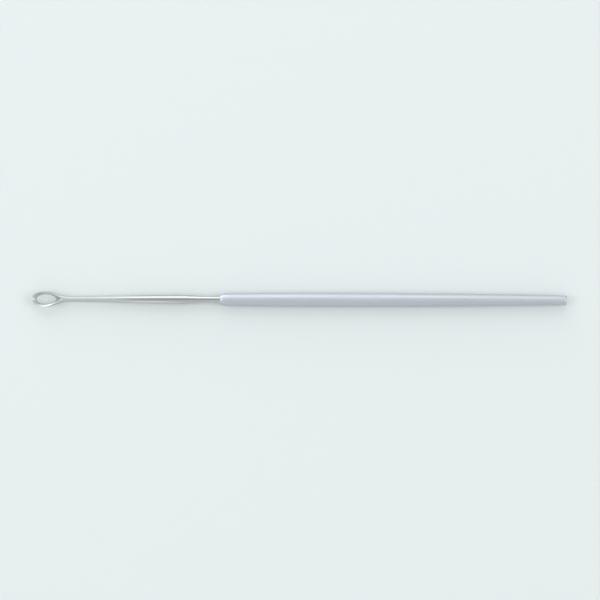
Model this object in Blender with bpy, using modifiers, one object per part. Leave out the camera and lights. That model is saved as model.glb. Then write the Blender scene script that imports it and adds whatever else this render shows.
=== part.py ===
"""A dermal curette: a steel working end with a sharpened ring, seated in a slender turned steel handle.

The instrument lies level along X with the ring's tip at the low end. The lowest facet of its handle, at
the widest place, is on the ground. Distances along the instrument are measured from the tip.
"""

import math

import bmesh
import bpy
import numpy as np

MM = 0.001

# The ring, seen from above, is an oval whose far end runs out into the neck
RING_LENGTH = 7.8 * MM
RING_WIDTH = 4.3 * MM
RING_HEIGHT = 1.3 * MM

# The band between the ring's outline and its hole, from above
TIP_BAND = 1.35 * MM
SIDE_BAND = 0.85 * MM
THROAT_BAND = 1.4 * MM
UNDERSIDE_BAND = 0.25 * MM

# The cup inside the ring has one slope all round, and rounds over to the hole below it
CUP_SLOPE = 0.65
LIP_ROUND = 0.23 * MM

# The throat, where the neck parts into two arms
NECK_DIAMETER = 1.48 * MM
OVAL_RUNOUT = 1.5 * MM
THROAT_LENGTH = 3.1 * MM
NOTCH_REACH = 0.5 * MM
NOTCH_FLARE = 1.5

# The shank, from the throat to the handle
NECK_LENGTH = 1.6 * MM
CONE_LENGTH = 29.0 * MM
BELLY_LENGTH = 1.0 * MM
BELLY_DIAMETER = 2.52 * MM
SHOULDER_LENGTH = 6.0 * MM
STEM_LENGTH = 4.3 * MM
STEM_DIAMETER = 2.0 * MM

# The tang inside the handle, and the gap that the braze fills round it and past its end
TANG_LENGTH = 14.0 * MM
TANG_CHAMFER = 0.3 * MM
BRAZE_GAP = 0.1 * MM
END_GAP = 0.3 * MM

# The handle, from its rounded nose to its butt
NOSE_LENGTH = 1.9 * MM
NOSE_DIAMETER = 3.27 * MM
MOUTH_CHAMFER = 0.08 * MM
RISE_LENGTH = 26.8 * MM
GRIP_DIAMETER = 3.78 * MM
TAPER_LENGTH = 65.2 * MM
BUTT_DIAMETER = 2.66 * MM
BUTT_ROUND = 0.8 * MM
BUTT_FACE_DIAMETER = 1.8 * MM

# How finely the shapes are drawn
HANDLE_STEPS = 48
OUTER_COLUMNS = 8
INNER_COLUMNS = 5
RING_ROWS = 20
THROAT_ROWS = 5
SUBDIVISIONS = 1

# Angles round the ring, from the throat at 0 to the tip at pi
ARMS_END = math.radians(70)
CUP_START = math.radians(75)
EDGE_START = math.radians(110)
EDGE_FADE = math.radians(70)

NECK_RADIUS = NECK_DIAMETER / 2
BELLY_RADIUS = BELLY_DIAMETER / 2
STEM_RADIUS = STEM_DIAMETER / 2
GRIP_RADIUS = GRIP_DIAMETER / 2
BUTT_RADIUS = BUTT_DIAMETER / 2
BORE_RADIUS = STEM_RADIUS + BRAZE_GAP

OVAL_END = RING_LENGTH - OVAL_RUNOUT
NECK_FRONT = OVAL_END + THROAT_LENGTH
CONE_START = NECK_FRONT + NECK_LENGTH
BELLY_START = CONE_START + CONE_LENGTH
SHOULDER_START = BELLY_START + BELLY_LENGTH
STEM_START = SHOULDER_START + SHOULDER_LENGTH
HANDLE_START = STEM_START + STEM_LENGTH
NOSE_END = HANDLE_START + NOSE_LENGTH
GRIP = NOSE_END + RISE_LENGTH
BUTT_START = GRIP + TAPER_LENGTH
LENGTH = BUTT_START + BUTT_ROUND

# The middle of a facet is a little nearer the axis than its edges are
AXIS_HEIGHT = GRIP_RADIUS * math.cos(math.pi / HANDLE_STEPS)


def clear_scene():
    for obj in list(bpy.data.objects):
        bpy.data.objects.remove(obj, do_unlink=True)


def new_collection(name):
    collection = bpy.data.collections.new(name)
    bpy.context.scene.collection.children.link(collection)
    return collection


def steel(name, colour, roughness):
    material = bpy.data.materials.new(name)
    material.use_nodes = True
    shader = material.node_tree.nodes["Principled BSDF"]
    shader.inputs["Base Color"].default_value = (*colour, 1.0)
    shader.inputs["Metallic"].default_value = 1.0
    shader.inputs["Roughness"].default_value = roughness
    return material


def ease(share):
    """Rises from 0 to 1 as share does, level at both ends."""
    share = np.clip(share, 0.0, 1.0)
    return share * share * (3 - 2 * share)


def mix(first, second, share):
    return first + (second - first) * share


def outline(x):
    """Half the width of ring and throat at x: the oval, then a cubic that ends level on the neck."""
    length, width = RING_LENGTH / 2, RING_WIDTH / 2
    oval = width * np.sqrt(np.clip(1 - ((x - length) / length) ** 2, 0, 1))
    leaving = width * math.sqrt(1 - ((OVAL_END - length) / length) ** 2)
    slope = -((width / length) ** 2) * (OVAL_END - length) / leaving
    u = np.clip((x - OVAL_END) / THROAT_LENGTH, 0, 1)
    start_weight = (1 + 2 * u) * (1 - u) ** 2
    slope_weight = u * (1 - u) ** 2 * THROAT_LENGTH
    throat = leaving * start_weight + slope * slope_weight + NECK_RADIUS * (1 - start_weight)
    return np.where(x < OVAL_END, oval, throat)


def shank_radius(x):
    """The turned shank: a long cone eased out of the neck, a belly, and a shoulder down to the stem."""
    cone = (BELLY_RADIUS - NECK_RADIUS) * ease((x - CONE_START) / CONE_LENGTH)
    shoulder = (STEM_RADIUS - BELLY_RADIUS) * ease((x - SHOULDER_START) / SHOULDER_LENGTH)
    return NECK_RADIUS + cone + shoulder


def shank_rows():
    """Half hoops from the tang's end to the throat, each from the top over the +Y side to the bottom."""
    tang_end = HANDLE_START + TANG_LENGTH
    chamfer = [tang_end, tang_end - TANG_CHAMFER]
    stem = np.linspace(tang_end - 2 * TANG_CHAMFER, STEM_START, 8)
    shoulder = np.linspace(STEM_START, SHOULDER_START, 8)[1:]
    cone = np.linspace(BELLY_START, CONE_START, 12)
    x = np.concatenate([chamfer, stem, shoulder, cone])
    radius = shank_radius(x)
    radius[0] -= TANG_CHAMFER
    angle = np.linspace(math.pi / 2, -math.pi / 2, OUTER_COLUMNS + 1)
    return np.stack(
        [
            np.repeat(x[:, None], OUTER_COLUMNS + 1, axis=1),
            np.outer(radius, np.cos(angle)),
            np.outer(radius, np.sin(angle)),
        ],
        axis=2,
    )


def ring_curves(angle):
    """The lines that every section of the +Y arm hangs on, at these angles round the ring.

    Crest and keel are its highest and lowest lines, side is its widest, and lip is the hole's edge.
    """
    length = RING_LENGTH / 2
    hole_end = RING_LENGTH - THROAT_BAND
    hole_length = (hole_end - TIP_BAND) / 2
    hole_width = RING_WIDTH / 2 - SIDE_BAND
    in_ring = ease(angle / ARMS_END)
    flat = np.zeros_like(angle)

    # From the throat the side first runs forward evenly, then it follows the oval
    quarter = math.pi / 2
    crest_start = RING_LENGTH + NOTCH_REACH
    keel_start = hole_end + UNDERSIDE_BAND
    side_start = (crest_start + keel_start) / 2
    forward = side_start - (side_start - length) * angle / quarter
    side_x = mix(forward, length * (1 + np.cos(angle)), ease(angle / quarter))
    side = np.stack([side_x, outline(side_x), flat], axis=1)

    crest_x = side_x + (crest_start - side_start) * (1 - in_ring)
    spread = np.sin(np.clip(angle / EDGE_START, 0, 1) * quarter) ** NOTCH_FLARE
    crest = np.stack([crest_x, outline(crest_x) * spread, flat], axis=1)

    lip_x = TIP_BAND + hole_length * (1 + np.cos(angle))
    lip = np.stack([lip_x, hole_width * np.sin(angle), flat], axis=1)

    out = np.linalg.norm(side - lip, axis=1)[:, None]
    keel = lip + (side - lip) / out * UNDERSIDE_BAND * in_ring[:, None]
    keel[:, 0] += UNDERSIDE_BAND * (1 - in_ring)

    height = mix(NECK_RADIUS, RING_HEIGHT / 2, in_ring)
    crest[:, 2] = height
    keel[:, 2] = -height
    return crest, side, keel, lip


def outer_sections(crest, side, keel):
    """Quarter ellipses from crest to side and on to keel, one row for each section."""
    rows = []
    for turn in np.linspace(math.pi / 2, -math.pi / 2, OUTER_COLUMNS + 1):
        end = crest if turn > 0 else keel
        rows.append(side + (end - side) * [1 - math.cos(turn), 1 - math.cos(turn), abs(math.sin(turn))])
    return np.stack(rows, axis=1)


def inner_sections(angle, crest, keel, lip):
    """Cubic curves from keel round the lip and up to the crest: rounded in the arms, a cone in the ring."""
    in_cup = ease(angle / CUP_START)
    depth = CUP_SLOPE * np.linalg.norm((crest - lip)[:, :2], axis=1)
    foot = lip.copy()
    foot[:, 2] = crest[:, 2] - depth
    low = lip + 1.5 * (lip - keel)
    low[:, 2] = mix(keel[:, 2], foot[:, 2] - LIP_ROUND, in_cup)
    rounded = mix(crest, lip, 0.3)
    rounded[:, 2] = crest[:, 2]
    high = mix(rounded, mix(crest, foot, 0.65), in_cup[:, None])
    rows = []
    for v in np.linspace(0, 1, INNER_COLUMNS + 1)[1:-1]:
        u = 1 - v
        rows.append(u**3 * keel + 3 * u * u * v * low + 3 * u * v * v * high + v**3 * crest)
    return np.stack(rows, axis=1)


def throat_rows(crest, side, keel):
    """Half hoops between the round neck and the first section of the arms."""
    steps = np.linspace(0, 1, THROAT_ROWS + 1)[:-1, None]
    start = np.array([[NECK_FRONT, 0, 0]])
    crests, sides, keels = (mix(start, line[:1], steps) for line in (crest, side, keel))
    sides[:, 1] = outline(sides[:, 0])
    crests[:, 2] = NECK_RADIUS
    keels[:, 2] = -NECK_RADIUS
    return outer_sections(crests, sides, keels)


def working_end(collection, parent, material):
    """One forged piece: tang, shank, throat and ring, lofted as its +Y half and mirrored."""
    angle = np.linspace(0, math.pi, RING_ROWS + 1)
    crest, side, keel, lip = ring_curves(angle)
    hoops = np.concatenate([shank_rows(), throat_rows(crest, side, keel)])
    sections = np.concatenate(
        [outer_sections(crest, side, keel), inner_sections(angle, crest, keel, lip)], axis=1
    )
    # A subdivided hoop of points settles inside its cage, so the cage is drawn wider by this much
    wider = 1 / (2 / 3 + math.cos(math.pi / OUTER_COLUMNS) / 3)
    hoops[:, :, 1:] *= wider
    sections[:, :, 1:] *= mix(wider, 1, ease(angle / ARMS_END))[:, None, None]

    form = bmesh.new()
    grid = [[form.verts.new(point) for point in row] for row in hoops]
    loops = [[form.verts.new(point) for point in row] for row in sections]
    grid.append(loops[0][: OUTER_COLUMNS + 1])
    for row, after in zip(grid, grid[1:]):
        for j in range(OUTER_COLUMNS):
            form.faces.new((row[j], row[j + 1], after[j + 1], after[j]))
    for row, after in zip(loops, loops[1:]):
        for j in range(len(row)):
            k = (j + 1) % len(row)
            form.faces.new((row[j], row[k], after[k], after[j]))
    form.faces.new(reversed(grid[0]))

    # The crest is sharpened from the arms forward
    crease = form.edges.layers.float.new("crease_edge")
    for i in range(RING_ROWS):
        edge = form.edges.get((loops[i][0], loops[i + 1][0]))
        edge[crease] = float(ease((angle[i] - EDGE_START + EDGE_FADE) / EDGE_FADE))

    mesh = bpy.data.meshes.new("working_end")
    form.to_mesh(mesh)
    form.free()
    mesh.materials.append(material)
    mesh.shade_smooth()
    piece = bpy.data.objects.new("working_end", mesh)
    piece.parent = parent
    collection.objects.link(piece)
    mirror = piece.modifiers.new("other_half", "MIRROR")
    mirror.use_axis = (False, True, False)
    mirror.merge_threshold = 0.001 * MM
    rounding = piece.modifiers.new("rounding", "SUBSURF")
    rounding.levels = SUBDIVISIONS
    rounding.render_levels = SUBDIVISIONS
    return piece


def handle_profile():
    """(distance from the tip, radius) down the outside from the butt's face to the nose, then the bore."""
    face = BUTT_FACE_DIAMETER / 2
    nose = NOSE_DIAMETER / 2
    mouth = BORE_RADIUS + MOUTH_CHAMFER
    points = [(LENGTH, 0.0)]
    for turn in np.linspace(0, math.pi / 2, 7):
        round_x = BUTT_START + BUTT_ROUND * math.cos(turn)
        points.append((round_x, mix(face, BUTT_RADIUS, math.sin(turn))))
    # From the grip the handle falls away as a parabola to either end
    for share in np.linspace(1, 0, 12)[1:]:
        radius = GRIP_RADIUS - (GRIP_RADIUS - BUTT_RADIUS) * share**2
        points.append((GRIP + TAPER_LENGTH * share, radius))
    for share in np.linspace(1, 0, 10)[1:]:
        radius = GRIP_RADIUS - (GRIP_RADIUS - nose) * (1 - share) ** 2
        points.append((NOSE_END + RISE_LENGTH * share, radius))
    for turn in np.linspace(0, math.pi / 2, 9)[1:]:
        nose_x = NOSE_END - NOSE_LENGTH * math.sin(turn)
        points.append((nose_x, mix(mouth, nose, math.cos(turn))))
    bore_end = HANDLE_START + TANG_LENGTH + END_GAP
    points.append((HANDLE_START + MOUTH_CHAMFER, BORE_RADIUS))
    points.append((bore_end, BORE_RADIUS))
    points.append((bore_end, 0.0))
    return points


def handle(collection, parent, material):
    """The handle, turned about its own Z, which the rotation lays along X, with one facet face down."""
    facet = math.pi / HANDLE_STEPS
    mesh = bpy.data.meshes.new("handle")
    points = [(r * math.cos(facet), r * math.sin(facet), x) for x, r in handle_profile()]
    mesh.from_pydata(points, [(i, i + 1) for i in range(len(points) - 1)], [])
    mesh.materials.append(material)
    piece = bpy.data.objects.new("handle", mesh)
    piece.rotation_euler = (0, math.pi / 2, 0)
    piece.parent = parent
    collection.objects.link(piece)
    turned = piece.modifiers.new("turned", "SCREW")
    turned.axis = "Z"
    turned.angle = 2 * math.pi
    turned.steps = HANDLE_STEPS
    turned.render_steps = HANDLE_STEPS
    turned.use_merge_vertices = True
    turned.merge_threshold = 0.001 * MM
    turned.use_smooth_shade = True
    return piece


def main():
    clear_scene()
    collection = new_collection("dermal_curette")
    resting = bpy.data.objects.new("resting", None)
    resting.location = (-LENGTH / 2, 0, AXIS_HEIGHT)
    collection.objects.link(resting)
    working_end(collection, resting, steel("polished_steel", (0.80, 0.81, 0.82), 0.12))
    handle(collection, resting, steel("satin_steel", (0.66, 0.67, 0.70), 0.38))


main()
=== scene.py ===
# %% [markdown]
# # A dermal curette in polished and satin steel
#
# A dermal curette scrapes small growths off skin. Its working end is a ring with one sharpened
# rim, forged in one piece with a slender shank. A long turned handle carries the shank.
#
# The measured model is loaded first. It gives the place and size of both pieces, and everything
# below is drawn around it, in metres, with +X from the ring towards the butt and +Z up.

# %% Load the measured model
import math

import bpy
import numpy as np
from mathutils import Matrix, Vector


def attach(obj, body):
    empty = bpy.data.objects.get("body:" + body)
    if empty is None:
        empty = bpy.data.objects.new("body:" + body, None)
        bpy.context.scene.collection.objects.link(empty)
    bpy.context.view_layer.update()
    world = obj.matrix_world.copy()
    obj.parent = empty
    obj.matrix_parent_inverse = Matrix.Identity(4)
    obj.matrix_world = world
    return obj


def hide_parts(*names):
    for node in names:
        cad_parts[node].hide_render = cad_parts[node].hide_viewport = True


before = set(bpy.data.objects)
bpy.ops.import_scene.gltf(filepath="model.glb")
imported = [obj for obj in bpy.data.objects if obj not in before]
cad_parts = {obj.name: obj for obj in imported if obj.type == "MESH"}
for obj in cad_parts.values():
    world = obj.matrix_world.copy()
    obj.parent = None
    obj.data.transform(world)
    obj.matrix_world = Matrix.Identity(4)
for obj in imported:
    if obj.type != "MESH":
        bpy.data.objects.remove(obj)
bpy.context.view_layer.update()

MM = 0.001

# %% [markdown]
# ## The camera
#
# The instrument was photographed from straight above, so the camera hangs over it and looks
# down, with the ring on the left. A long lens from far away keeps the two ends the same size.
# The lens follows from the width of floor that the square picture has to cover. The camera was
# held a hair off square to the instrument, which lowers the butt in the picture.

# %% Hang the camera over the instrument
PICTURE_WIDTH = 164.2 * MM
PICTURE_CENTRE = (0.21 * MM, -0.09 * MM)
CAMERA_HEIGHT = 900 * MM
CAMERA_ROLL = 0.0024
SENSOR = 36.0

lens = bpy.data.cameras.new("camera")
lens.sensor_width = SENSOR
lens.lens = SENSOR * CAMERA_HEIGHT / PICTURE_WIDTH
lens.clip_start = 0.01
camera = bpy.data.objects.new("camera", lens)
camera.location = (*PICTURE_CENTRE, CAMERA_HEIGHT)
camera.rotation_euler = (0, 0, CAMERA_ROLL)
bpy.context.scene.collection.objects.link(camera)
bpy.context.scene.camera = camera
bpy.context.scene.view_settings.view_transform = "Standard"
print("lens, mm:", round(lens.lens, 1))

# %% [markdown]
# ## A way to make surfaces
#
# Both pieces are grids of points: one direction runs along the instrument, the other round it.
# A mesh could be built face by face, but with numpy all the faces of a grid come from one table
# of point numbers, shifted by one row and one column.

# %% Turn a grid of points into faces
def grid_faces(rows, columns, wrap):
    """Four-sided faces over a grid of points numbered row by row.

    Face (i, j) joins the points (i, j), (i, j+1), (i+1, j+1) and (i+1, j). With wrap, the last
    column is joined to the first.
    """
    number = np.arange(rows * columns).reshape(rows, columns)
    here = number if wrap else number[:, :-1]
    beside = np.roll(number, -1, axis=1) if wrap else number[:, 1:]
    return np.stack([here[:-1], beside[:-1], beside[1:], here[1:]], axis=-1).reshape(-1, 4)


def new_piece(name, points, faces):
    """A smooth-shaded mesh object at the origin, with its place in its points."""
    mesh = bpy.data.meshes.new(name)
    mesh.from_pydata(points.tolist(), [], faces)
    mesh.validate()
    mesh.shade_smooth()
    piece = bpy.data.objects.new(name, mesh)
    bpy.context.scene.collection.objects.link(piece)
    return piece


def mix(first, second, share):
    """first where share is 0, second where it is 1, and a straight blend between."""
    return first + (second - first) * share


def ease(share):
    """Rises from 0 to 1 with share, level at both ends: 3s² - 2s³."""
    share = np.clip(share, 0.0, 1.0)
    return share * share * (3 - 2 * share)


print("one strip of three faces:", grid_faces(2, 4, False).tolist())

# %% [markdown]
# ## The shape of the handle
#
# The handle was turned on a lathe, so one outline says it all. From the mouth it swells quickly
# over a rounded nose, then slowly to its thickest place a third of the way along. From there it
# falls away, ever faster, to a small flat butt. The bore that holds the shank's tang is part of
# the same outline. Each stretch is written as a radius against the distance from the ring's tip,
# because a distance can be read off a picture of the instrument.

# %% Write the handle's outline
LENGTH = 146.0 * MM
HANDLE_START = 51.3 * MM
NOSE_END = 53.2 * MM
GRIP = 80.0 * MM
BUTT_START = 145.4 * MM
NOSE_RADIUS = 1.68 * MM
GRIP_RADIUS = 1.89 * MM
BUTT_RADIUS = 1.33 * MM
FACE_RADIUS = 1.0 * MM
BORE_RADIUS = 1.1 * MM
BORE_END = 65.6 * MM
MOUTH_ROUND = 0.08 * MM
BORE_ROWS, LIP_ROWS, NOSE_ROWS, BODY_ROWS, BUTT_ROWS = 12, 6, 24, 150, 28


def outer_radius(x):
    """Radius from the nose to the butt's rounding: two parabolas that meet level at the grip.

    Each is the grip's radius, less its drop to the far end times the square of the way there.
    """
    rise = GRIP_RADIUS - (GRIP_RADIUS - NOSE_RADIUS) * ((GRIP - x) / (GRIP - NOSE_END)) ** 2
    taper = GRIP_RADIUS - (GRIP_RADIUS - BUTT_RADIUS) * ((x - GRIP) / (BUTT_START - GRIP)) ** 2
    return np.where(x < GRIP, rise, taper)


def quarter(count):
    """Angles from zero to a right angle, evenly spaced."""
    return np.linspace(0, math.pi / 2, count)


def handle_outline():
    """(distance, radius) rows from the bore's end to the mouth, over the nose and on to the butt."""
    lip, nose, butt = quarter(LIP_ROWS), quarter(NOSE_ROWS), quarter(BUTT_ROWS)[::-1]
    mouth_radius = BORE_RADIUS + MOUTH_ROUND
    bore_x = np.linspace(BORE_END, HANDLE_START + MOUTH_ROUND, BORE_ROWS)
    body_x = np.linspace(NOSE_END, BUTT_START, BODY_ROWS)[1:-1]
    x = np.concatenate([
        bore_x,
        HANDLE_START + MOUTH_ROUND * (1 - np.sin(lip[1:])),
        HANDLE_START + (NOSE_END - HANDLE_START) * (1 - np.cos(nose[1:])),
        body_x,
        BUTT_START + (LENGTH - BUTT_START) * np.cos(butt),
    ])
    radius = np.concatenate([
        np.full(BORE_ROWS, BORE_RADIUS),
        mouth_radius - MOUTH_ROUND * np.cos(lip[1:]),
        mix(mouth_radius, NOSE_RADIUS, np.sin(nose[1:])),
        outer_radius(body_x),
        mix(FACE_RADIUS, BUTT_RADIUS, np.sin(butt)),
    ])
    return x, radius


outline_x, outline_radius = handle_outline()
print("outline rows:", len(outline_x), "thickest, mm:", round(2 * outline_radius.max() / MM, 2))

# %% [markdown]
# ## Laying the instrument down
#
# The handle's thickest place is almost under the instrument's centre of weight, so it lies about
# level, with the ring well clear of the floor. Both pieces are drawn along an axis through zero
# with the ring's tip at the start, and one function then moves them to their place. The measured
# handle has 48 flat sides and lies on one of them, which the cosine below takes into account.

# %% Lay points down as the instrument rests
AXIS_HEIGHT = GRIP_RADIUS * math.cos(math.pi / 48)


def laid_down(points):
    """Moves points back by half the length, so that the middle is at zero, and up to the axis."""
    return points + np.array([-LENGTH / 2, 0.0, AXIS_HEIGHT])


print("axis height, mm:", round(AXIS_HEIGHT / MM, 3))

# %% [markdown]
# ## Turning the handle
#
# The Screw modifier would turn the outline too. Here each row of the outline is carried round
# the axis as one array: the height is the radius times the cosine of the angle, the width is
# the radius times its sine. A single point closes the bore's end, and another the butt.

# %% Turn the outline into the handle
AROUND = 144


def turned(x, radius, around):
    """Rings of points round the instrument's axis, and a point on the axis before and after them."""
    angle = np.linspace(0, 2 * math.pi, around, endpoint=False)
    rings = np.stack([
        np.repeat(x[:, None], around, axis=1),
        np.outer(radius, np.sin(angle)),
        np.outer(radius, np.cos(angle)),
    ], axis=-1)
    poles = np.array([[x[0], 0.0, 0.0], [x[-1], 0.0, 0.0]])
    return laid_down(np.concatenate([rings.reshape(-1, 3), poles]))


def fan(ring, centre):
    """Three-sided faces from a ring of point numbers to one centre point."""
    return np.stack([ring, np.roll(ring, -1), np.full_like(ring, centre)], axis=-1)


rows = len(outline_x)
last = rows * AROUND
skin = grid_faces(rows, AROUND, True)[:, ::-1]
start_cap = fan(np.arange(AROUND), last)
end_cap = fan(np.arange(last - AROUND, last), last + 1)[:, ::-1]
handle = new_piece(
    "satin_handle",
    turned(outline_x, outline_radius, AROUND),
    skin.tolist() + start_cap.tolist() + end_cap.tolist(),
)
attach(handle, "root")
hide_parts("handle")
print("handle faces:", len(handle.data.polygons))

# %% [markdown]
# ## The lines of the ring
#
# A smith splits the end of the shank into two arms, opens them into a ring and grinds a cone
# into it, so that only the upper rim is sharp. Four lines carry the whole form: the crest along
# the top, the side where it is widest, the keel along the bottom and the lip of the hole. Each is
# a function of the angle round the ring, from 0 in the throat to half a turn at the tip. Only
# the half on the +Y side is drawn, because the other is its mirror image.

# %% Write the four lines of the ring
RING_LENGTH = 7.8 * MM
RING_WIDTH = 4.3 * MM
RING_HEIGHT = 1.3 * MM
TIP_BAND = 1.35 * MM
SIDE_BAND = 0.85 * MM
THROAT_BAND = 1.4 * MM
UNDERSIDE_BAND = 0.25 * MM
NECK_RADIUS = 0.74 * MM
OVAL_END = 6.3 * MM
NECK_FRONT = 10.7 * MM
CREST_START = 8.6 * MM
NOTCH_FLARE = 1.0
ARMS_END = math.radians(70)
EDGE_START = math.radians(110)
EDGE_FADE = math.radians(70)


def half_width(x):
    """Half the ring's width at x: an oval, then a cubic that leaves along it and ends level."""
    length, width = RING_LENGTH / 2, RING_WIDTH / 2
    oval = width * np.sqrt(np.clip(1 - ((x - length) / length) ** 2, 0, 1))
    leaving = width * math.sqrt(1 - ((OVAL_END - length) / length) ** 2)
    slope = -((width / length) ** 2) * (OVAL_END - length) / leaving
    span = NECK_FRONT - OVAL_END
    u = np.clip((x - OVAL_END) / span, 0, 1)
    start = (1 + 2 * u) * (1 - u) ** 2
    throat = leaving * start + slope * u * (1 - u) ** 2 * span + NECK_RADIUS * (1 - start)
    return np.where(x < OVAL_END, oval, throat)


def ring_lines(angle):
    """Crest, side, keel and lip at these angles: an oval each, drawn out towards the throat."""
    length = RING_LENGTH / 2
    hole_end = RING_LENGTH - THROAT_BAND
    in_ring = ease(angle / ARMS_END)
    flat = np.zeros_like(angle)

    right = math.pi / 2
    keel_start = hole_end + UNDERSIDE_BAND
    side_start = (CREST_START + keel_start) / 2
    forward = side_start - (side_start - length) * angle / right
    side_x = mix(forward, length * (1 + np.cos(angle)), ease(angle / right))
    side = np.stack([side_x, half_width(side_x), flat], axis=1)

    crest_x = side_x + (CREST_START - side_start) * (1 - in_ring)
    spread = np.sin(np.clip(angle / EDGE_START, 0, 1) * right) ** NOTCH_FLARE
    crest = np.stack([crest_x, half_width(crest_x) * spread, flat], axis=1)

    lip_x = TIP_BAND + (hole_end - TIP_BAND) / 2 * (1 + np.cos(angle))
    lip = np.stack([lip_x, (RING_WIDTH / 2 - SIDE_BAND) * np.sin(angle), flat], axis=1)

    out = np.linalg.norm(side - lip, axis=1)[:, None]
    keel = lip + (side - lip) / out * UNDERSIDE_BAND * in_ring[:, None]
    keel[:, 0] += UNDERSIDE_BAND * (1 - in_ring)

    height = mix(NECK_RADIUS, RING_HEIGHT / 2, in_ring)
    crest[:, 2] = height
    keel[:, 2] = -height
    return crest, side, keel, lip


RING_ROWS = 20
ring_angle = np.linspace(0, math.pi, RING_ROWS + 1)
crest, side, keel, lip = ring_lines(ring_angle)
print("ring's widest half, mm:", round(side[:, 1].max() / MM, 3))

# %% [markdown]
# ## The skin of the working end
#
# Every section of an arm is closed: two quarter ellipses run over the outside, from the crest to
# the side and on to the keel, and one cubic curve comes back up the inside. In the arms that curve
# is round, in the ring it is the straight ground cone. On the shank only the outside is left, a
# half hoop whose ends lie on the mirror plane. The rows are few, because Subdivision Surface
# rounds them afterwards, as a polisher would.

# %% Span the sections
OUTER_COLUMNS = 8
INNER_COLUMNS = 5
CUP_START = math.radians(45)
CUP_SLOPE = 0.65
LIP_ROUND = 0.23 * MM
LOW_REACH = 1.5
ARM_REACH = 0.3
CUP_REACH = 0.65


def outer_sections(crest, side, keel):
    """Quarter ellipses: side + (end - side) times (1 - cos, 1 - cos, |sin|) of the turn."""
    turn = np.linspace(math.pi / 2, -math.pi / 2, OUTER_COLUMNS + 1)
    weight = np.stack([1 - np.cos(turn), 1 - np.cos(turn), np.abs(np.sin(turn))], axis=-1)
    end = np.where(turn[None, :, None] > 0, crest[:, None], keel[:, None])
    return side[:, None] + (end - side[:, None]) * weight


def inner_sections(angle, crest, keel, lip):
    """Cubic Bezier curves from keel to crest, drawn round the lip.

    The low middle point lies past the lip, by LOW_REACH times the way from keel to lip. The high
    one lies on the way from the crest inwards, by ARM_REACH of it. From the throat forward both
    move over to the cup, which falls from the crest by its slope times the way inwards.
    """
    in_cup = ease(angle / CUP_START)
    depth = CUP_SLOPE * np.linalg.norm((crest - lip)[:, :2], axis=1)
    foot = lip.copy()
    foot[:, 2] = crest[:, 2] - depth
    low = lip + LOW_REACH * (lip - keel)
    low[:, 2] = mix(keel[:, 2], foot[:, 2] - LIP_ROUND, in_cup)
    rounded = mix(crest, lip, ARM_REACH)
    rounded[:, 2] = crest[:, 2]
    high = mix(rounded, mix(crest, foot, CUP_REACH), in_cup[:, None])
    v = np.linspace(0, 1, INNER_COLUMNS + 1)[None, 1:-1, None]
    u = 1 - v
    ends = u**3 * keel[:, None] + v**3 * crest[:, None]
    return ends + 3 * u * u * v * low[:, None] + 3 * u * v * v * high[:, None]


sections = np.concatenate(
    [outer_sections(crest, side, keel), inner_sections(ring_angle, crest, keel, lip)], axis=1
)
print("ring sections and points in each:", sections.shape[:2])

# %% [markdown]
# ## The throat and the shank
#
# Behind the ring the two arms run together in a round neck. The shank then swells in a long
# cone to a belly, drops over a soft shoulder to a thin stem and ends in the tang, which sits in
# the handle's bore. It is all round, so each row is a half hoop of the radius at that place.

# %% Run the shank back to its tang
CONE_START = 11.0 * MM
BELLY_START = 40.0 * MM
SHOULDER_START = 41.0 * MM
STEM_START = 47.0 * MM
TANG_END = 65.3 * MM
BELLY_RADIUS = 1.26 * MM
STEM_RADIUS = 1.0 * MM
TANG_CHAMFER = 0.3 * MM
TANG_ROWS, SHOULDER_ROWS, CONE_ROWS, THROAT_ROWS = 8, 8, 12, 5


def shank_radius(x):
    """A cone eased out of the neck, a level belly and a shoulder eased down to the stem."""
    cone = (BELLY_RADIUS - NECK_RADIUS) * ease((x - CONE_START) / (BELLY_START - CONE_START))
    drop = ease((x - SHOULDER_START) / (STEM_START - SHOULDER_START))
    return NECK_RADIUS + cone + (STEM_RADIUS - BELLY_RADIUS) * drop


def shank_hoops():
    """Half hoops from the tang's end to the neck: x, radius times cosine, radius times sine."""
    x = np.concatenate([
        [TANG_END, TANG_END - TANG_CHAMFER],
        np.linspace(TANG_END - 2 * TANG_CHAMFER, STEM_START, TANG_ROWS),
        np.linspace(STEM_START, SHOULDER_START, SHOULDER_ROWS)[1:],
        np.linspace(BELLY_START, CONE_START, CONE_ROWS),
    ])
    radius = shank_radius(x)
    radius[0] -= TANG_CHAMFER
    turn = np.linspace(math.pi / 2, -math.pi / 2, OUTER_COLUMNS + 1)
    along = np.repeat(x[:, None], OUTER_COLUMNS + 1, axis=1)
    return np.stack([along, np.outer(radius, np.cos(turn)), np.outer(radius, np.sin(turn))], axis=2)


def throat_hoops():
    """Half hoops that lean over from the upright neck to the first section of the arms."""
    share = np.linspace(0, 1, THROAT_ROWS + 1)[:-1, None]
    start = np.array([[NECK_FRONT, 0.0, 0.0]])
    crests, sides, keels = (mix(start, line[:1], share) for line in (crest, side, keel))
    sides[:, 1] = half_width(sides[:, 0])
    crests[:, 2] = NECK_RADIUS
    keels[:, 2] = -NECK_RADIUS
    return outer_sections(crests, sides, keels)


hoops = np.concatenate([shank_hoops(), throat_hoops()])
print("hoops from tang to throat:", len(hoops))

# %% [markdown]
# ## Joining the working end
#
# The hoops and the ring's sections become one mesh: the last hoop is joined to the outer half of
# the first section. Subdivision pulls a ring of points inwards, so the rows are first drawn
# wider by the same amount. Mirror adds the other half, and a crease along the crest keeps the
# cutting edge sharp while everything else is rounded.

# %% Join, mirror and round the working end
ROUNDING = 3
wider = 1 / (2 / 3 + math.cos(math.pi / OUTER_COLUMNS) / 3)
hoops[:, :, 1:] *= wider
sections[:, :, 1:] *= mix(wider, 1, ease(ring_angle / ARMS_END))[:, None, None]

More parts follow.
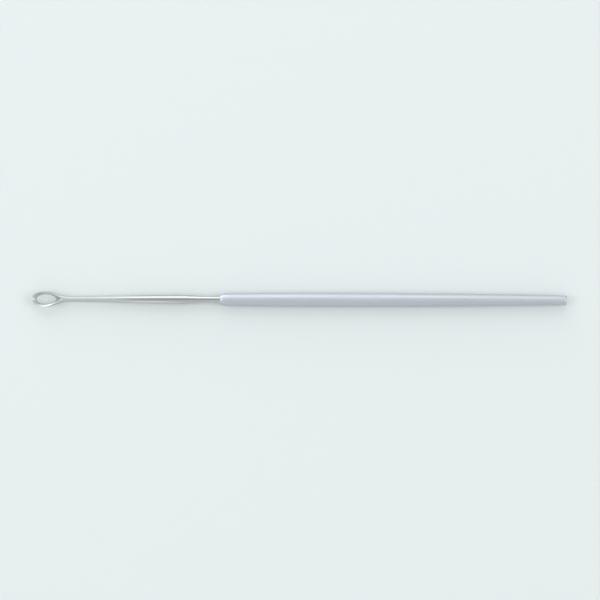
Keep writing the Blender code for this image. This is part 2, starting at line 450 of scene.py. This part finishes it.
hoop_count, hoop_points = hoops.shape[:2]
section_count, section_points = sections.shape[:2]
first_section = hoop_count * hoop_points
points = laid_down(np.concatenate([hoops.reshape(-1, 3), sections.reshape(-1, 3)]))

shank_faces = grid_faces(hoop_count, hoop_points, False)
ring_faces = grid_faces(section_count, section_points, True) + first_section
back = np.arange(first_section - hoop_points, first_section)
front = np.arange(first_section, first_section + hoop_points)
joint_faces = np.stack([back[:-1], back[1:], front[1:], front[:-1]], axis=-1)
tang_face = np.arange(hoop_points)[::-1]
quads = np.concatenate([shank_faces, joint_faces, ring_faces]).tolist()
end = new_piece("polished_end", points, quads + [tang_face.tolist()])

edge_ends = np.zeros(len(end.data.edges) * 2, dtype=np.int32)
end.data.edges.foreach_get("vertices", edge_ends)
row, column = np.divmod(edge_ends.reshape(-1, 2) - first_section, section_points)
on_crest = (row >= 0).all(axis=1) & (column == 0).all(axis=1)
edge_angle = ring_angle[np.clip(row.min(axis=1), 0, RING_ROWS)]
sharpness = np.where(on_crest, ease((edge_angle - EDGE_START + EDGE_FADE) / EDGE_FADE), 0)
crease = end.data.attributes.new("crease_edge", "FLOAT", "EDGE")
crease.data.foreach_set("value", sharpness.astype(np.float32))

mirror = end.modifiers.new("other_half", "MIRROR")
mirror.use_axis = (False, True, False)
mirror.merge_threshold = 0.001 * MM
rounding = end.modifiers.new("rounding", "SUBSURF")
rounding.levels = ROUNDING
rounding.render_levels = ROUNDING
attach(end, "root")
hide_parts("working_end")
sharp_edges = int((sharpness > 0.99).sum())
print("working end, half cage faces:", len(end.data.polygons), "sharp edges:", sharp_edges)

# %% [markdown]
# ## Steel, as a base for both finishes
#
# Both pieces are stainless steel, and only the last step of finishing differs. The shader is
# metallic with a pale grey colour. Noise on the object's own coordinates, which are metres here,
# varies the roughness and bends the surface a little, so no stretch reflects perfectly evenly.
# The shank comes brightest off the polishing wheel. The wheel does not get round the thin neck so
# well, and the ring is ground and honed by hand, so both are left a little duller.

# %% Describe a steel with a stretched grain
CLOUDS_PER_METRE = 160.0
NOISE_RANGE = (0.7, 1.3)


def steel(name, colour, finish, grain, depth, spread):
    """A metallic shader whose noise grain, in marks per metre along X, Y and Z, drives its finish.

    The finish lists places along X, each with its roughness, and a ramp eases from one to the
    next. The marks and a coarser cloud noise, whose sum mostly keeps to NOISE_RANGE, then move the
    roughness up or down by spread. The marks are also raised by depth.
    """
    material = bpy.data.materials.new(name)
    material.use_nodes = True
    nodes, links = material.node_tree.nodes, material.node_tree.links
    shader = nodes["Principled BSDF"]
    shader.inputs["Base Color"].default_value = (*colour, 1.0)
    shader.inputs["Metallic"].default_value = 1.0

    place = nodes.new("ShaderNodeTexCoord")
    stretch = nodes.new("ShaderNodeMapping")
    stretch.inputs["Scale"].default_value = grain
    links.new(place.outputs["Object"], stretch.inputs["Vector"])
    marks = nodes.new("ShaderNodeTexNoise")
    marks.inputs["Scale"].default_value = 1.0
    marks.inputs["Detail"].default_value = 3.0
    links.new(stretch.outputs["Vector"], marks.inputs["Vector"])

    clouds = nodes.new("ShaderNodeTexNoise")
    clouds.inputs["Scale"].default_value = CLOUDS_PER_METRE
    clouds.inputs["Detail"].default_value = 4.0
    links.new(place.outputs["Object"], clouds.inputs["Vector"])

    both = nodes.new("ShaderNodeMath")
    both.operation = "ADD"
    links.new(marks.outputs["Fac"], both.inputs[0])
    links.new(clouds.outputs["Fac"], both.inputs[1])
    change = nodes.new("ShaderNodeMapRange")
    change.inputs["From Min"].default_value = NOISE_RANGE[0]
    change.inputs["From Max"].default_value = NOISE_RANGE[1]
    change.inputs["To Min"].default_value = -spread
    change.inputs["To Max"].default_value = spread
    links.new(both.outputs["Value"], change.inputs["Value"])

    axes = nodes.new("ShaderNodeSeparateXYZ")
    links.new(place.outputs["Object"], axes.inputs["Vector"])
    places, roughness = np.array(finish).T
    along = nodes.new("ShaderNodeMapRange")
    along.inputs["From Min"].default_value = places[0]
    along.inputs["From Max"].default_value = places[-1]
    links.new(axes.outputs["X"], along.inputs["Value"])
    ramp = nodes.new("ShaderNodeValToRGB")
    ramp.color_ramp.interpolation = "EASE"
    stops = ramp.color_ramp.elements
    while len(stops) < len(places):
        stops.new(1.0)
    for stop, share, value in zip(stops, (places - places[0]) / np.ptp(places), roughness):
        stop.position = share
        stop.color = (value, value, value, 1.0)
    links.new(along.outputs["Result"], ramp.inputs["Fac"])
    total = nodes.new("ShaderNodeMath")
    total.operation = "ADD"
    links.new(ramp.outputs["Color"], total.inputs[0])
    links.new(change.outputs["Result"], total.inputs[1])
    links.new(total.outputs["Value"], shader.inputs["Roughness"])

    bump = nodes.new("ShaderNodeBump")
    bump.inputs["Distance"].default_value = depth
    bump.inputs["Strength"].default_value = 1.0
    links.new(marks.outputs["Fac"], bump.inputs["Height"])
    links.new(bump.outputs["Normal"], shader.inputs["Normal"])
    return material


SATIN_FINISH = [(-22 * MM, 0.5), (73 * MM, 0.5)]
POLISHED_FINISH = [
    (-67 * MM, 0.34), (-62 * MM, 0.52), (-52 * MM, 0.46), (-43 * MM, 0.2), (-37 * MM, 0.137)
]
satin = steel(
    "satin_steel", (0.55, 0.585, 0.635), SATIN_FINISH,
    grain=(9000, 1500, 1500), depth=0.002 * MM, spread=0.05,
)
polished = steel(
    "polished_steel", (0.545, 0.575, 0.57), POLISHED_FINISH,
    grain=(150, 7000, 7000), depth=0.001 * MM, spread=0.03,
)
handle.data.materials.append(satin)
end.data.materials.append(polished)
print("finishes:", satin.name, polished.name)

# %% [markdown]
# ## Floor and studio light
#
# The instrument lies on a plain pale floor. Polished steel shows whatever stands around it, so
# the room matters more than the colour. A long soft lamp on the far side and a lower one behind
# it draw the bright line along the upper edge. Both reach far to the left, and a small corner
# lamp carries their light on to the right, so that the ring's ground cone shows them on one arm
# and stays grey on the other. A small lamp on the near side lifts the neck's lower edge. Two
# square lamps over the ends show only in the satin handle, whose grain spreads their light over
# its top. The room is evenly bright but for a dim patch right overhead, where the camera hangs,
# and the polished shank shows it as a darker line along it.

# %% Lay the floor and set the lamps
FLOOR_SIZE = 3.0
floor_points = np.array([[-1, -1, 0], [1, -1, 0], [1, 1, 0], [-1, 1, 0]]) * FLOOR_SIZE / 2
floor = new_piece("floor", floor_points, [[0, 1, 2, 3]])

floor_paint = bpy.data.materials.new("pale_floor")
floor_paint.use_nodes = True
paint = floor_paint.node_tree.nodes["Principled BSDF"]
paint.inputs["Base Color"].default_value = (0.70, 0.74, 0.74, 1.0)
paint.inputs["Roughness"].default_value = 0.8
floor.data.materials.append(floor_paint)


COOL = (0.93, 0.98, 1.0)
PALE = (0.97, 0.99, 1.0)


def soft_lamp(name, place, size, brightness, colour, aim=0.0):
    """A rectangular lamp at place, in metres, facing the point at aim on the X axis.

    Its size is along X and across. A panel that is as bright as brightness gives off pi times its
    area times that in watts.
    """
    lamp = bpy.data.lights.new(name, "AREA")
    lamp.shape = "RECTANGLE"
    lamp.size, lamp.size_y = size
    lamp.energy = brightness * math.pi * size[0] * size[1]
    lamp.color = colour
    stand = bpy.data.objects.new(name, lamp)
    stand.location = place
    stand.rotation_euler = (Vector(place) - Vector((aim, 0, 0))).to_track_quat("Z", "Y").to_euler()
    bpy.context.scene.collection.objects.link(stand)
    return stand


far_lamp = soft_lamp("far_lamp", (-0.69, 1.1, 0.58), (1.82, 1.04), 1.12, COOL, -0.69)
low_lamp = soft_lamp("low_lamp", (-1.07, 1.24, 0.18), (1.65, 0.3), 2.4, COOL, -1.07)
corner_lamp = soft_lamp("corner_lamp", (0.62, 0.92, 0.77), (0.65, 0.5), 0.6, COOL, 0.62)
near_lamp = soft_lamp("near_lamp", (-0.26, -1.1, 0.4), (0.32, 0.4), 0.9, COOL, -0.26)
left_lamp = soft_lamp("left_lamp", (-0.87, 0, 0.9), (0.7, 0.7), 2.2, PALE)
right_lamp = soft_lamp("right_lamp", (0.87, 0, 0.9), (0.7, 0.7), 2.2, PALE)


def room_light(overhead, around, patch_end, fade_end):
    """A world lit by direction: overhead near the zenith, around beyond fade_end, in degrees.

    The direction's height is the cosine of its angle from the zenith, and Map Range eases
    between the cosines of the two angles.
    """
    world = bpy.data.worlds.new("studio")
    world.use_nodes = True
    nodes, links = world.node_tree.nodes, world.node_tree.links
    direction = nodes.new("ShaderNodeTexCoord")
    parts = nodes.new("ShaderNodeSeparateXYZ")
    links.new(direction.outputs["Generated"], parts.inputs["Vector"])
    fade = nodes.new("ShaderNodeMapRange")
    fade.interpolation_type = "SMOOTHSTEP"
    fade.inputs["From Min"].default_value = math.cos(math.radians(fade_end))
    fade.inputs["From Max"].default_value = math.cos(math.radians(patch_end))
    fade.inputs["To Min"].default_value = around
    fade.inputs["To Max"].default_value = overhead
    links.new(parts.outputs["Z"], fade.inputs["Value"])
    links.new(fade.outputs["Result"], nodes["Background"].inputs["Strength"])
    nodes["Background"].inputs["Color"].default_value = (1.0, 1.0, 1.0, 1.0)
    return world


bpy.context.scene.world = room_light(overhead=0.47, around=0.75, patch_end=6.4, fade_end=19.8)
lamps = [far_lamp, low_lamp, corner_lamp, near_lamp, left_lamp, right_lamp]
print("lamps:", [lamp.name for lamp in lamps])
